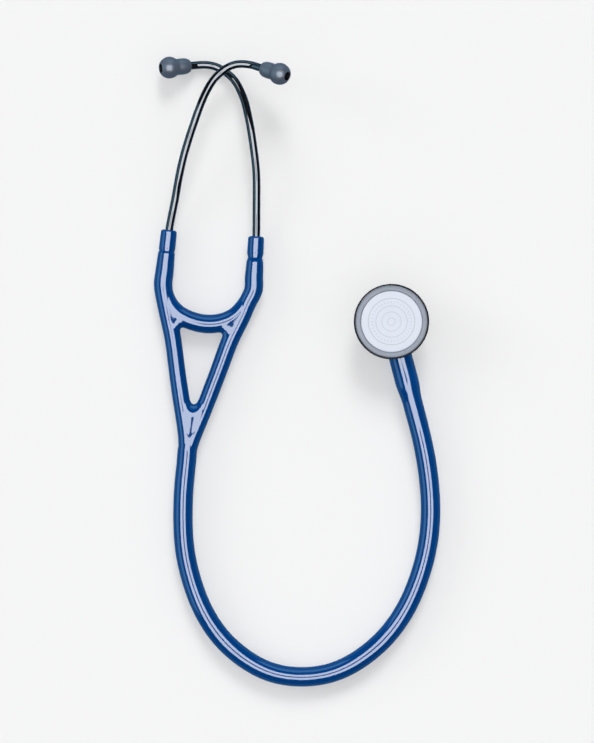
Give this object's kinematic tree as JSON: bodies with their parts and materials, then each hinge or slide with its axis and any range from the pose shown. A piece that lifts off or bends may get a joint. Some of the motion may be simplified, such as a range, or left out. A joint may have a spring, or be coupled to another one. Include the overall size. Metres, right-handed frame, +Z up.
{
  "type": "stethoscope",
  "caption": "Double-sided stethoscope with a moulded triangular yoke, hinged arms with crossed ear tubes, soft eartips, a long hose and a turning chestpiece.",
  "frame": {"origin": "on the table under the middle of the object's box, the free hose left out", "axes": "+Z up from the table it lies on, +Y from the yoke's tail towards the eartips, +X towards the chestpiece"},
  "size_m": [0.1672, 0.3682, 0.0333],
  "materials": {
    "pvc_blue": "very glossy moulded PVC, deep royal blue",
    "tube_black": "gloss black on aluminium tube",
    "tip_grey": "soft satin slate grey",
    "spring_steel": "plain spring steel",
    "stem_steel": "polished stainless steel",
    "chest_smoke": "dark smoke-coloured stainless steel, satin",
    "rim_black": "black, slightly glossy",
    "surround_grey": "bluish grey satin",
    "diaphragm_white": "pale bluish white, satin",
    "index_white": "white paint dot"
  },
  "bodies": {
    "yoke": {"yoke": "pvc_blue", "leaf_spring": "spring_steel", "main_hose": "pvc_blue", "stem": "stem_steel", "stem_oring": "rim_black", "stem_index_dot": "index_white"},
    "left_ear": {"left_arm": "pvc_blue", "left_tube_retainer": "spring_steel", "left_ear_tube": "tube_black", "left_tip_ferrule": "tube_black"},
    "right_ear": {"right_arm": "pvc_blue", "right_tube_retainer": "spring_steel", "right_ear_tube": "tube_black", "right_tip_ferrule": "tube_black"},
    "left_eartip": {"left_eartip": "tip_grey"},
    "right_eartip": {"right_eartip": "tip_grey"},
    "chestpiece": {"chestpiece_body": "chest_smoke", "large_rim": "rim_black", "large_surround": "surround_grey", "small_rim": "rim_black", "small_surround": "surround_grey", "detent_ball": "stem_steel", "detent_spring": "spring_steel", "detent_screw": "stem_steel"},
    "large_diaphragm": {"large_diaphragm": "diaphragm_white"},
    "small_diaphragm": {"small_diaphragm": "diaphragm_white"}
  },
  "joints": [
    {"name": "left_ear_hinge", "type": "hinge", "parent": "yoke", "child": "left_ear", "pos_m": [-0.075, -0.0168, 0.0055], "axis": [0.2419, 0, 0.9703], "range_deg": [0, 40], "stiffness_Nm_per_rad": 1.2},
    {"name": "right_ear_hinge", "type": "hinge", "parent": "yoke", "child": "right_ear", "pos_m": [-0.0222, -0.0207, 0.0055], "axis": [0, 0, -1], "range_deg": [0, 40], "stiffness_Nm_per_rad": 1.2},
    {"name": "left_eartip_pull", "type": "slide", "parent": "left_ear", "child": "left_eartip", "axis": [0.8055, -0.2932, 0.515], "range_m": [0, 0.012]},
    {"name": "right_eartip_pull", "type": "slide", "parent": "right_ear", "child": "right_eartip", "axis": [-0.9203, -0.113, 0.3746], "range_m": [0, 0.012]},
    {"name": "chestpiece_turn", "type": "hinge", "parent": "yoke", "child": "chestpiece", "pos_m": [0.0582, -0.0395, 0.0095], "axis": [0.2588, -0.9659, 0], "continuous": true},
    {"name": "large_diaphragm_press", "type": "slide", "parent": "chestpiece", "child": "large_diaphragm", "axis": [0, 0, -1], "range_m": [0, 0.0004], "stiffness_N_per_m": 4000},
    {"name": "small_diaphragm_press", "type": "slide", "parent": "chestpiece", "child": "small_diaphragm", "axis": [0, 0, 1], "range_m": [0, 0.0004], "stiffness_N_per_m": 4000}
  ]
}
